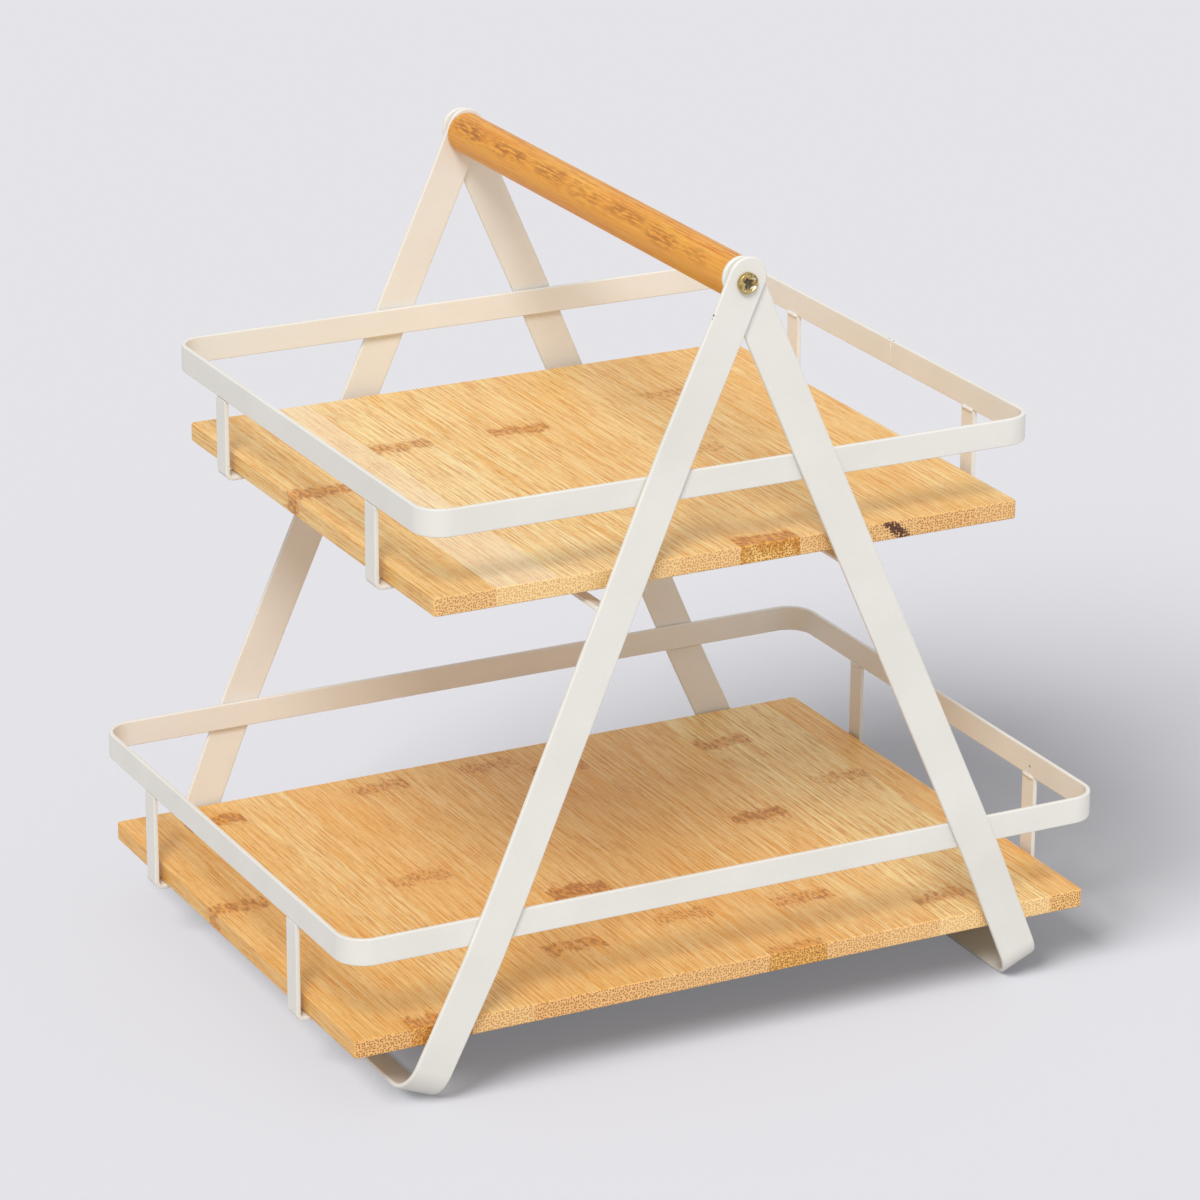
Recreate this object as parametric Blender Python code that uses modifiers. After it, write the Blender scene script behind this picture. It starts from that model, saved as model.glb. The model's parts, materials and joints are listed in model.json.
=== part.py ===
"""Two-tier kitchen counter rack with bamboo boards and a bamboo carrying grip.

Two U-shaped frames of flat steel bar lean against each other and cross at the ends of the grip.
Each tier is a steel rim with two straps hanging from it, and a bamboo board lies on the straps.
Units are metres. X runs along the boards, Y along the grip and Z up. The origin is on the counter,
under the middle of the rack.
"""
import math

import bmesh
import bpy
from mathutils import Matrix, Vector

# Air left between two pieces that touch on the real rack
FIT_GAP = 0.0003

# The two leg frames
AXIS_HEIGHT = 0.3705           # grip axis above the counter
FOOT_HALF_WIDTH = 0.1624       # from the middle to where a leg's centre line meets the counter
FRAME_BAR_WIDTH = 0.019
FRAME_THICKNESS = 0.0022
FRAME_END_LENGTH = 0.0118      # leg end beyond the grip axis
LEG_BOW = 0.0063               # how much further out a leg stands at the lower rim than at the grip
FOOT_DRAW_IN = 0.0055          # how far it comes back in from there to the foot
SLIGHT_BEND_RADIUS = 0.1       # inside of a leg's slight bends
SLIGHT_BEND_MARGIN = 0.004     # from the crossing, or from a rim, to the slight bend beside it
FOOT_BEND_RADIUS = 0.0137      # inside of the bend

# The bamboo grip and its screws
GRIP_LENGTH = 0.282
GRIP_DIAMETER = 0.0198
GRIP_END_EASE = 0.0012
GRIP_SCREW_DIAMETER = 0.0044
GRIP_SCREW_BITE = 0.026        # screw length inside the grip
GRIP_SCREW_HEAD_DIAMETER = 0.0098
GRIP_SCREW_HEAD_HEIGHT = 0.0028
GRIP_SCREW_RECESS_WIDTH = 0.0013
GRIP_SCREW_RECESS_SPAN = 0.0066
GRIP_SCREW_RECESS_DEPTH = 0.0016

# The bamboo boards
BOARD_THICKNESS = 0.009
UPPER_BOARD_TOP = 0.2434
UPPER_BOARD_LENGTH = 0.300
LOWER_BOARD_TOP = 0.0397
LOWER_BOARD_LENGTH = 0.3854
UPPER_BOARD_SETBACK = 0.0042   # long edge of the board behind the face of its rim
LOWER_BOARD_SETBACK = 0.0048
BOARD_CORNER_RADIUS = 0.002
BOARD_EDGE_EASE = 0.0006

# The rims
RIM_HEIGHT = 0.013
RIM_THICKNESS = 0.0022
UPPER_RIM_RISE = 0.0419        # top edge of the rim above the board's top face
LOWER_RIM_RISE = 0.0507
UPPER_RIM_CORNER_RADIUS = 0.0117   # inside of the corner
LOWER_RIM_CORNER_RADIUS = 0.0124

# The straps that hang from the rims and carry the boards
STRAP_WIDTH = 0.011
STRAP_THICKNESS = 0.0022
STRAP_SPACING = 0.1692         # between the middles of a tier's two straps
STRAP_BEND_RADIUS = 0.0018     # inside of the bend
UPPER_SIDE_CLEARANCE = 0.0043  # board end to strap
LOWER_SIDE_CLEARANCE = 0.0032

# The crossbars under the upper tier
CROSSBAR_WIDTH = 0.012
CROSSBAR_THICKNESS = 0.0022
CROSSBAR_CLEARANCE = 0.003     # crossbar below the upper straps

# The wood screws that hold the boards on the straps
BOARD_SCREW_DIAMETER = 0.003
BOARD_SCREW_HEAD_DIAMETER = 0.0065
BOARD_SCREW_HEAD_HEIGHT = 0.0018
BOARD_SCREW_INSET = 0.040      # from the board's end
BOARD_SCREW_COVER = 0.0035     # bamboo left above the screw's point

# How finely curved outlines are drawn
BEND_STEP_ANGLE = math.radians(11.25)
CORNER_STEPS = 8
HEAD_STEPS = 20
HOLE_SIDES = 24
GRIP_SIDES = 48
DOME_STEPS = 4
CUTTER_REACH = 0.02            # how far a cutter passes beyond what it cuts

# Sizes that follow from the ones above
leg_tilt = math.atan2(FOOT_HALF_WIDTH, AXIS_HEIGHT)
leg_half_width = FRAME_BAR_WIDTH / 2
inner_leg_face = GRIP_LENGTH / 2 + FIT_GAP
outside_face = inner_leg_face + 2 * FRAME_THICKNESS + FIT_GAP
strap_middle = STRAP_SPACING / 2


def down_leg(height, edge):
    """Distance down the leg from the grip axis to where its upper or lower edge passes a height."""
    drop = (AXIS_HEIGHT - height) / math.cos(leg_tilt)
    return drop + {"upper": -1, "lower": 1}[edge] * leg_half_width * math.tan(leg_tilt)


leg_length = down_leg(0, "upper")
crossing_end = leg_half_width / math.tan(leg_tilt) + SLIGHT_BEND_MARGIN
upper_rim_start = down_leg(UPPER_BOARD_TOP + UPPER_RIM_RISE, "upper") - SLIGHT_BEND_MARGIN
lower_rim_top = LOWER_BOARD_TOP + LOWER_RIM_RISE
lower_rim_start = down_leg(lower_rim_top, "upper") - SLIGHT_BEND_MARGIN
lower_rim_end = down_leg(lower_rim_top - RIM_HEIGHT, "lower") + SLIGHT_BEND_MARGIN


def leg_spread(distance):
    """How much further out a leg stands this far down from the grip, as far as the lower rim."""
    share = (distance - crossing_end) / (lower_rim_start - crossing_end)
    return LEG_BOW * min(max(share, 0), 1)


def rim_half_depth(rim_top):
    """Half the depth of a rim that fits between the legs."""
    return inner_leg_face + leg_spread(down_leg(rim_top, "upper")) - FIT_GAP


def linear_colour(red, green, blue):
    """Colour for a shader from the 0 to 255 values that the finish shows."""
    shown = [value / 255 for value in (red, green, blue)]
    linear = [((value + 0.055) / 1.055) ** 2.4 for value in shown]
    return (*linear, 1.0)


# Finishes: colour, roughness, metallic
COATED_STEEL = (linear_colour(236, 232, 222), 0.45, 0.0)
BOARD_BAMBOO = (linear_colour(228, 184, 118), 0.55, 0.0)
GRIP_BAMBOO = (linear_colour(208, 150, 78), 0.5, 0.0)
YELLOW_ZINC = (linear_colour(176, 154, 88), 0.35, 1.0)


def new_collection(name):
    """Collection in the scene."""
    collection = bpy.data.collections.new(name)
    bpy.context.scene.collection.children.link(collection)
    return collection


for leftover in list(bpy.data.objects):
    bpy.data.objects.remove(leftover, do_unlink=True)

rack = new_collection("kitchen_counter_rack")
cutters = new_collection("cutters")


def add_pivot(name, height, turn=(0, 0, 0)):
    """Empty on the Z axis that carries pieces made in its own directions."""
    pivot = bpy.data.objects.new(name, None)
    pivot.empty_display_size = FRAME_BAR_WIDTH
    pivot.location = (0, 0, height)
    pivot.rotation_euler = turn
    rack.objects.link(pivot)
    return pivot


def add_object(name, mesh, parent=None):
    """Piece of the rack."""
    piece = bpy.data.objects.new(name, mesh)
    piece.parent = parent
    rack.objects.link(piece)
    return piece


def finish(piece, look):
    """Give a piece its own material."""
    colour, roughness, metallic = look
    material = bpy.data.materials.new(piece.name)
    material.use_nodes = True
    shader = material.node_tree.nodes["Principled BSDF"]
    shader.inputs["Base Color"].default_value = colour
    shader.inputs["Roughness"].default_value = roughness
    shader.inputs["Metallic"].default_value = metallic
    piece.data.materials.append(material)


def make_cutter(cutter):
    """Take a piece out of the rack and keep it as a cutter."""
    rack.objects.unlink(cutter)
    cutters.objects.link(cutter)
    cutter.hide_render = True
    cutter.display_type = "WIRE"


def combine(piece, cutter, operation="DIFFERENCE"):
    """Cut a piece with a cutter, or keep only what lies in both."""
    boolean = piece.modifiers.new(cutter.name, "BOOLEAN")
    boolean.operation = operation
    boolean.solver = "EXACT"
    boolean.object = cutter


def ease_edges(piece, width, segments=2):
    """Round the sharp edges of a piece."""
    bevel = piece.modifiers.new("eased edges", "BEVEL")
    bevel.width = width
    bevel.segments = segments
    bevel.limit_method = "ANGLE"
    bevel.angle_limit = math.radians(40)


def outline_solid(name, outlines, depth, parent=None, place=Matrix.Identity(4)):
    """Mesh object of flat closed outlines, made as thick as the depth says."""
    curve = bpy.data.curves.new(name, "CURVE")
    curve.dimensions = "2D"
    curve.fill_mode = "BOTH"
    curve.extrude = depth / 2
    for outline in outlines:
        spline = curve.splines.new("POLY")
        spline.points.add(len(outline) - 1)
        for point, (across, up) in zip(spline.points, outline):
            point.co = (across, up, 0, 1)
        spline.use_cyclic_u = True
    drawn = add_object(name + "_outline", curve)
    bpy.context.view_layer.update()
    evaluated = drawn.evaluated_get(bpy.context.evaluated_depsgraph_get())
    mesh = bpy.data.meshes.new_from_object(evaluated)
    bpy.data.objects.remove(drawn, do_unlink=True)
    welded = bmesh.new()
    welded.from_mesh(mesh)
    bmesh.ops.remove_doubles(welded, verts=welded.verts, dist=0.00001)
    welded.to_mesh(mesh)
    welded.free()
    mesh.name = name
    solid = add_object(name, mesh, parent)
    solid.matrix_basis = place
    return solid


def box_solid(name, corner, opposite, parent=None):
    """Box between two opposite corners, with its origin in its middle."""
    corner = Vector(corner)
    opposite = Vector(opposite)
    box = bmesh.new()
    bmesh.ops.create_cube(box, size=1)
    size = opposite - corner
    bmesh.ops.scale(box, vec=[abs(side) for side in size], verts=box.verts)
    mesh = bpy.data.meshes.new(name)
    box.to_mesh(mesh)
    box.free()
    solid = add_object(name, mesh, parent)
    solid.location = (corner + opposite) / 2
    return solid


def round_bar(name, diameter, length, place, sides=HOLE_SIDES, parent=None):
    """Cylinder about the Z axis of its place."""
    bar = bmesh.new()
    bmesh.ops.create_cone(
        bar, cap_ends=True, segments=sides, radius1=diameter / 2, radius2=diameter / 2, depth=length
    )
    mesh = bpy.data.meshes.new(name)
    bar.to_mesh(mesh)
    bar.free()
    mesh.shade_smooth()
    mesh.set_sharp_from_angle(angle=math.radians(40))
    solid = add_object(name, mesh, parent)
    solid.matrix_basis = place
    return solid


def bent_strip(corners, bend_radii, thickness):
    """Outline of a strip that lies left of a line through the corners, bent at each inner one."""
    points = [Vector(corner) for corner in corners]
    runs = [(end - start).normalized() for start, end in zip(points, points[1:])]
    inward = [Vector((-run.y, run.x)) for run in runs]
    outer_line = [points[0]]
    inner_line = [points[0] + inward[0] * thickness]
    bends = zip(points[1:-1], bend_radii, runs, runs[1:], inward)
    for corner, bend_radius, before, after, side in bends:
        turn = -before.angle_signed(after)
        bends_left = turn > 0
        outer_radius = bend_radius + thickness if bends_left else bend_radius
        inner_radius = bend_radius if bends_left else bend_radius + thickness
        to_centre = side if bends_left else -side
        centre = corner - before * outer_radius * math.tan(abs(turn) / 2) + to_centre * outer_radius
        steps = math.ceil(abs(turn) / BEND_STEP_ANGLE)
        for step in range(steps + 1):
            arm = Matrix.Rotation(turn * step / steps, 2) @ -to_centre
            outer_line.append(centre + arm * outer_radius)
            inner_line.append(centre + arm * inner_radius)
    outer_line.append(points[-1])
    inner_line.append(points[-1] + inward[-1] * thickness)
    return outer_line + inner_line[::-1]


def rounded_rectangle(half_length, half_depth, radius):
    """Outline of a rectangle with round corners, anticlockwise."""
    points = []
    for quarter, (side, end) in enumerate([(1, 1), (-1, 1), (-1, -1), (1, -1)]):
        centre = Vector((side * (half_length - radius), end * (half_depth - radius)))
        for step in range(CORNER_STEPS + 1):
            angle = math.pi / 2 * (quarter + step / CORNER_STEPS)
            points.append(centre + Vector((math.cos(angle), math.sin(angle))) * radius)
    return points


def leg_corners(side, crosses_outside):
    """Corners of a leg's outer face from its end down to the foot, as (across, up).

    The leg lies flat as far as it crosses the other frame's leg. One that crosses outside comes in
    below that, so that both kinds of leg lie against the rims.
    """
    face = inner_leg_face + FRAME_THICKNESS
    head_face = outside_face if crosses_outside else face
    corners = [(head_face, -FRAME_END_LENGTH), (head_face, crossing_end)]
    if crosses_outside:
        corners.append((face + leg_spread(upper_rim_start), upper_rim_start))
    corners.append((face + LEG_BOW, lower_rim_start))
    corners.append((face + LEG_BOW, lower_rim_end))
    corners.append((face + LEG_BOW - FOOT_DRAW_IN, leg_length))
    return [(side * across, -down) for across, down in corners]


def add_leg_frame(name, pivot):
    """Flat bar bent into a U: two legs and the foot bar between them.

    The pivot lies on the grip axis and leans with the legs, so the bar's width runs along X here.
    The near leg crosses outside the other frame's leg and the far leg inside it. Both rims are
    welded between the legs.
    """
    near_leg = leg_corners(-1, True)
    far_leg = leg_corners(1, False)
    near_radii = [SLIGHT_BEND_RADIUS] * (len(near_leg) - 2) + [FOOT_BEND_RADIUS]
    far_radii = [SLIGHT_BEND_RADIUS] * (len(far_leg) - 2) + [FOOT_BEND_RADIUS]
    corners = near_leg + far_leg[::-1]
    outline = bent_strip(corners, near_radii + far_radii[::-1], FRAME_THICKNESS)
    facing_x = Matrix.Rotation(math.pi / 2, 4, "Z") @ Matrix.Rotation(math.pi / 2, 4, "X")
    frame = outline_solid(name, [outline], FRAME_BAR_WIDTH + CUTTER_REACH, pivot, facing_x)

    # Seen from the side a leg is a bar with a round end, and that view gives the width
    below_foot = -leg_length - CUTTER_REACH
    side_view = [(-leg_half_width, below_foot), (leg_half_width, below_foot)]
    for step in range(HEAD_STEPS + 1):
        angle = math.pi * step / HEAD_STEPS
        height = FRAME_END_LENGTH - leg_half_width + leg_half_width * math.sin(angle)
        side_view.append((leg_half_width * math.cos(angle), height))
    facing_y = Matrix.Rotation(math.pi / 2, 4, "X")
    whole_depth = 2 * (outside_face + LEG_BOW + CUTTER_REACH)
    side_cutter = outline_solid(name + "_side_view", [side_view], whole_depth, pivot, facing_y)
    make_cutter(side_cutter)
    combine(frame, side_cutter, "INTERSECT")

    hole_diameter = GRIP_SCREW_DIAMETER + 2 * FIT_GAP
    hole = round_bar(name + "_screw_holes", hole_diameter, whole_depth, facing_y, parent=pivot)
    make_cutter(hole)
    combine(frame, hole)
    finish(frame, COATED_STEEL)


def add_crossbar(name, pivot, strap_underside):
    """Flat stretcher welded between a frame's two legs, level with their outer edge."""
    top = -down_leg(strap_underside - CROSSBAR_CLEARANCE, "lower")
    reach = inner_leg_face + leg_spread(-top) - FIT_GAP
    low_corner = (-leg_half_width, -reach, top - CROSSBAR_THICKNESS)
    high_corner = (-leg_half_width + CROSSBAR_WIDTH, reach, top)
    crossbar = box_solid(name, low_corner, high_corner, pivot)
    finish(crossbar, COATED_STEEL)


def add_rim(name, half_length, half_depth, corner_radius, top):
    """Closed ring of strip on edge."""
    outer_line = rounded_rectangle(half_length, half_depth, corner_radius + RIM_THICKNESS)
    inner_line = rounded_rectangle(
        half_length - RIM_THICKNESS, half_depth - RIM_THICKNESS, corner_radius
    )
    place = Matrix.Translation((0, 0, top - RIM_HEIGHT / 2))
    rim = outline_solid(name, [outer_line, inner_line], RIM_HEIGHT, place=place)
    finish(rim, COATED_STEEL)


def add_strap(name, half_length, middle, underside, top, screw_places):
    """Strip bent up at both ends, hanging from the rim and passing under the board."""
    corners = [
        (-half_length, top),
        (-half_length, underside),
        (half_length, underside),
        (half_length, top),
    ]
    place = Matrix.Translation((0, middle, 0)) @ Matrix.Rotation(math.pi / 2, 4, "X")
    bend_radii = [STRAP_BEND_RADIUS, STRAP_BEND_RADIUS]
    outline = bent_strip(corners, bend_radii, STRAP_THICKNESS)
    strap = outline_solid(name, [outline], STRAP_WIDTH, place=place)
    hole_diameter = BOARD_SCREW_DIAMETER + 2 * FIT_GAP
    for number, along in enumerate(screw_places, 1):
        place = Matrix.Translation((along, middle, underside + STRAP_THICKNESS / 2))
        depth = STRAP_THICKNESS + CUTTER_REACH
        hole = round_bar(f"{name}_hole_{number}", hole_diameter, depth, place)
        make_cutter(hole)
        combine(strap, hole)
    finish(strap, COATED_STEEL)


def add_board(name, length, half_depth, top, screw_places):
    """Glued bamboo panel with blind pilot holes in its underside."""
    underside = top - BOARD_THICKNESS
    outline = rounded_rectangle(length / 2, half_depth, BOARD_CORNER_RADIUS)
    place = Matrix.Translation((0, 0, (top + underside) / 2))
    board = outline_solid(name, [outline], BOARD_THICKNESS, place=place)
    ease_edges(board, BOARD_EDGE_EASE)
    point_height = top - BOARD_SCREW_COVER
    hole_diameter = BOARD_SCREW_DIAMETER + 2 * FIT_GAP
    depth = point_height - underside + CUTTER_REACH
    middle_height = point_height - depth / 2
    for number, (along, across) in enumerate(screw_places, 1):
        place = Matrix.Translation((along, across, middle_height))
        hole = round_bar(f"{name}_pilot_{number}", hole_diameter, depth, place)
        make_cutter(hole)
        combine(board, hole)
    finish(board, BOARD_BAMBOO)


def screw_mesh(name, diameter, length, head_diameter, head_height, sides):
    """Round-headed wood screw about Z, its head's bearing face at zero and its point down."""
    shank = diameter / 2
    head = head_diameter / 2
    rim = head_height / 3
    profile = []
    for step in range(DOME_STEPS + 1):
        angle = math.pi / 2 * step / DOME_STEPS
        dome = (head_height - rim) * math.cos(angle)
        profile.append((head * math.sin(angle), 0, rim + dome))
    profile.append((head, 0, 0))
    profile.append((shank, 0, 0))
    profile.append((shank, 0, shank - length))
    profile.append((0, 0, -length))
    edges = [(index, index + 1) for index in range(len(profile) - 1)]
    mesh = bpy.data.meshes.new(name)
    mesh.from_pydata(profile, edges, [])
    screw = add_object(name, mesh)
    turning = screw.modifiers.new("turned", "SCREW")
    turning.axis = "Z"
    turning.steps = sides
    turning.render_steps = sides
    turning.use_merge_vertices = True
    turning.merge_threshold = 0.00001
    return screw


def add_grip(pivot):
    """Round bamboo grip with a pilot hole in each end."""
    along_grip = Matrix.Rotation(math.pi / 2, 4, "X")
    grip = round_bar("handle_grip", GRIP_DIAMETER, GRIP_LENGTH, along_grip, GRIP_SIDES, pivot)
    ease_edges(grip, GRIP_END_EASE, 3)
    hole_diameter = GRIP_SCREW_DIAMETER + 2 * FIT_GAP
    depth = GRIP_SCREW_BITE + FIT_GAP + CUTTER_REACH
    middle = GRIP_LENGTH / 2 + CUTTER_REACH - depth / 2
    for name, side in (("near", -1), ("far", 1)):
        place = Matrix.Translation((0, side * middle, 0)) @ along_grip
        hole = round_bar(f"{name}_grip_pilot", hole_diameter, depth, place, parent=pivot)
        make_cutter(hole)
        combine(grip, hole)
    finish(grip, GRIP_BAMBOO)


def add_grip_screw(name, side, pivot):
    """Screw through both crossed leg ends into the end of the grip."""
    bearing_face = outside_face + FIT_GAP
    length = bearing_face - GRIP_LENGTH / 2 + GRIP_SCREW_BITE
    screw = screw_mesh(
        name,
        GRIP_SCREW_DIAMETER,
        length,
        GRIP_SCREW_HEAD_DIAMETER,
        GRIP_SCREW_HEAD_HEIGHT,
        HOLE_SIDES,
    )
    screw.parent = pivot
    screw.location = (0, side * bearing_face, 0)
    screw.rotation_euler = (-side * math.pi / 2, 0, 0)
    recess_bottom = GRIP_SCREW_HEAD_HEIGHT - GRIP_SCREW_RECESS_DEPTH
    for number, turn in enumerate((math.pi / 4, -math.pi / 4), 1):
        half_span = GRIP_SCREW_RECESS_SPAN / 2
        half_width = GRIP_SCREW_RECESS_WIDTH / 2
        low_corner = (-half_span, -half_width, recess_bottom)
        high_corner = (half_span, half_width, GRIP_SCREW_HEAD_HEIGHT + CUTTER_REACH)
        slot = box_solid(f"{name}_slot_{number}", low_corner, high_corner, screw)
        slot.rotation_euler = (0, 0, turn)
        make_cutter(slot)
        combine(screw, slot)
    finish(screw, YELLOW_ZINC)


def add_board_screw(name, along, across, strap_underside, board_top):
    """Short screw up through a strap into the board."""
    bearing_face = strap_underside - FIT_GAP
    length = board_top - BOARD_SCREW_COVER - FIT_GAP - bearing_face
    screw = screw_mesh(
        name,
        BOARD_SCREW_DIAMETER,
        length,
        BOARD_SCREW_HEAD_DIAMETER,
        BOARD_SCREW_HEAD_HEIGHT,
        HOLE_SIDES // 2,
    )
    screw.location = (along, across, bearing_face)
    screw.rotation_euler = (math.pi, 0, 0)
    finish(screw, YELLOW_ZINC)


def add_tier(tier, board_length, board_top, rim_rise, corner_radius, side_clearance, setback):
    """Rim, two straps, board and board screws of one tier. Returns the straps' underside."""
    rim_top = board_top + rim_rise
    half_length = board_length / 2 + side_clearance + STRAP_THICKNESS
    half_depth = rim_half_depth(rim_top)
    strap_top = rim_top - RIM_HEIGHT - FIT_GAP
    strap_underside = board_top - BOARD_THICKNESS - FIT_GAP - STRAP_THICKNESS
    screw_along = board_length / 2 - BOARD_SCREW_INSET
    screw_places = [
        (end * screw_along, side * strap_middle) for side in (-1, 1) for end in (-1, 1)
    ]
    add_rim(f"{tier}_rim", half_length, half_depth, corner_radius, rim_top)
    for name, side in (("near", -1), ("far", 1)):
        holes = (-screw_along, screw_along)
        middle = side * strap_middle
        add_strap(f"{tier}_{name}_strap", half_length, middle, strap_underside, strap_top, holes)
    add_board(f"{tier}_board", board_length, half_depth - setback, board_top, screw_places)
    for number, (along, across) in enumerate(screw_places, 1):
        name = f"{tier}_board_screw_{number}"
        add_board_screw(name, along, across, strap_underside, board_top)
    return strap_underside


upper_strap_underside = add_tier(
    "upper",
    UPPER_BOARD_LENGTH,
    UPPER_BOARD_TOP,
    UPPER_RIM_RISE,
    UPPER_RIM_CORNER_RADIUS,
    UPPER_SIDE_CLEARANCE,
    UPPER_BOARD_SETBACK,
)
add_tier(
    "lower",
    LOWER_BOARD_LENGTH,
    LOWER_BOARD_TOP,
    LOWER_RIM_RISE,
    LOWER_RIM_CORNER_RADIUS,
    LOWER_SIDE_CLEARANCE,
    LOWER_BOARD_SETBACK,
)

# The right frame is the left one turned half round about Z
for side_name, half_turn in (("left", 0), ("right", math.pi)):
    leg_pivot = add_pivot(f"{side_name}_leg_pivot", AXIS_HEIGHT, (0, leg_tilt, half_turn))
    add_leg_frame(f"{side_name}_leg_frame", leg_pivot)
    add_crossbar(f"{side_name}_crossbar", leg_pivot, upper_strap_underside)

grip_pivot = add_pivot("grip_pivot", AXIS_HEIGHT)
add_grip(grip_pivot)
add_grip_screw("near_grip_screw", -1, grip_pivot)
add_grip_screw("far_grip_screw", 1, grip_pivot)
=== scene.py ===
import json
import math
import random

import bmesh
import bpy
from mathutils import Euler, Matrix, Vector


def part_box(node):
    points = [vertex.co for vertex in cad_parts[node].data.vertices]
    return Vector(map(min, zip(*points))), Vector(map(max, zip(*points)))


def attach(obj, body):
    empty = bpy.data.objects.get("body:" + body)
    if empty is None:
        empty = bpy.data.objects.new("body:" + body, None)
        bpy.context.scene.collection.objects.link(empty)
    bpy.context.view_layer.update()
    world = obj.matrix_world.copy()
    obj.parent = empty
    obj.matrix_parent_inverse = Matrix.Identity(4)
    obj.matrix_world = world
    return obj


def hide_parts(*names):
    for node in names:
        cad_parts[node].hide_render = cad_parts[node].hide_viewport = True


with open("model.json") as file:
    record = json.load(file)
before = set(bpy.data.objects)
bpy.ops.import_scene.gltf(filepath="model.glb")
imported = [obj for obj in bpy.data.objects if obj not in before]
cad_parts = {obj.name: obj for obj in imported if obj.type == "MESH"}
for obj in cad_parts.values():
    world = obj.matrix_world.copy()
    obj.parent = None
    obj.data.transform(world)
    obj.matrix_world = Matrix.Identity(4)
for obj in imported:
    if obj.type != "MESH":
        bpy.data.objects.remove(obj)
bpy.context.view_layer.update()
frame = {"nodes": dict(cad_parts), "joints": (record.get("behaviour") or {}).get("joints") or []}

# The photograph's viewpoint.
# The rack is seen from its left front and from above, through a long lens.
VIEW_AZIMUTH = math.radians(-27.27)
VIEW_ELEVATION = math.radians(20.23)
VIEW_ROLL = math.radians(0.345)
VIEW_TARGET = Vector((0.0032, 0.0, 0.1721))
VIEW_DISTANCE = 2.4095
VIEW_LENS = 150.4
SENSOR_WIDTH = 36
NEAREST_SEEN = 0.05
FARTHEST_SEEN = 50

level_turn = Euler((math.pi / 2 - VIEW_ELEVATION, 0, VIEW_AZIMUTH)).to_matrix()
turn = level_turn @ Matrix.Rotation(VIEW_ROLL, 3, "Z")
camera = bpy.data.objects.new("camera", bpy.data.cameras.new("camera"))
camera.data.lens = VIEW_LENS
camera.data.sensor_width = SENSOR_WIDTH
camera.data.clip_start = NEAREST_SEEN
camera.data.clip_end = FARTHEST_SEEN
camera.location = VIEW_TARGET + turn @ Vector((0, 0, VIEW_DISTANCE))
camera.rotation_euler = turn.to_euler()
bpy.context.scene.collection.objects.link(camera)
bpy.context.scene.camera = camera
bpy.context.scene.view_settings.view_transform = "Standard"


# The coating on every steel piece.
# Warm white powder coat, baked on after welding: satin, with a fine orange peel, a little uneven
# in tone, and chipped to the steel in a few places.
def shade(red, green, blue):
    """Colour for a shader from the 0 to 255 values that the finish shows."""
    return (*[((value / 255 + 0.055) / 1.055) ** 2.4 for value in (red, green, blue)], 1.0)


def add_node(tree, kind, inputs=None, **settings):
    """Shader node. Each input is a value or another node's output."""
    made = tree.nodes.new(kind)
    for setting, value in settings.items():
        setattr(made, setting, value)
    for socket, value in (inputs or {}).items():
        if isinstance(value, bpy.types.NodeSocket):
            tree.links.new(value, made.inputs[socket])
        else:
            made.inputs[socket].default_value = value
    return made


def maths(tree, operation, first, second=0.0, third=0.0):
    """Result of one sum in a node tree."""
    made = add_node(tree, "ShaderNodeMath", {0: first, 1: second, 2: third}, operation=operation)
    return made.outputs[0]


def vector_maths(tree, operation, first, second=(0.0, 0.0, 0.0)):
    """Result of one sum with places: a number for a distance, length or dot product."""
    made = add_node(tree, "ShaderNodeVectorMath", {0: first, 1: second}, operation=operation)
    gives_number = operation in ("DISTANCE", "DOT_PRODUCT", "LENGTH")
    return made.outputs["Value" if gives_number else "Vector"]


def noise(tree, place, scale=1.0, detail=2.0):
    """Soft random pattern around 0.5."""
    made = add_node(tree, "ShaderNodeTexNoise", {"Vector": place, "Scale": scale, "Detail": detail})
    return made.outputs["Fac"]


def stretched(tree, place, along_x, along_y, along_z):
    """Place with each direction scaled by its own number."""
    return vector_maths(tree, "MULTIPLY", place, (along_x, along_y, along_z))


def ramp(tree, value, low, high):
    """0 where the value is at low and 1 where it is at high, with a soft start and end."""
    ends = {"Value": value, "From Min": low, "From Max": high}
    made = add_node(tree, "ShaderNodeMapRange", ends, interpolation_type="SMOOTHSTEP")
    return made.outputs["Result"]


def blend(tree, share, first, second, how="MIX"):
    """Colour between two colours."""
    colours = {0: share, 6: first, 7: second}
    made = add_node(tree, "ShaderNodeMix", colours, data_type="RGBA", blend_type=how)
    return made.outputs[2]


def new_group(name, inputs, outputs):
    """Shader node group, with what it is given and what it puts out."""
    group = bpy.data.node_groups.new(name, "ShaderNodeTree")
    for side, sockets in (("INPUT", inputs), ("OUTPUT", outputs)):
        for label, kind in sockets.items():
            group.interface.new_socket(label, in_out=side, socket_type="NodeSocket" + kind)
    given = group.nodes.new("NodeGroupInput").outputs
    return group, given, group.nodes.new("NodeGroupOutput").inputs


def new_material(name):
    """Material with a Principled shader, and the piece's own coordinates."""
    material = bpy.data.materials.new(name)
    material.use_nodes = True
    tree = material.node_tree
    place = tree.nodes.new("ShaderNodeTexCoord").outputs["Object"]
    return material, tree, tree.nodes["Principled BSDF"], place


COAT_COLOUR = shade(228, 225, 216)
COAT_PALE = shade(234, 231, 223)
BARE_STEEL = shade(104, 94, 88)
COAT_ROUGHNESS = 0.42
CLOUD_SCALE = 24.0
SPECK_SCALE = 900.0
CHIP_SCALE = 1400.0
PEEL_PITCH = 0.0011
PEEL_DEPTH = 0.00003
PEEL_STRENGTH = 0.6

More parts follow.
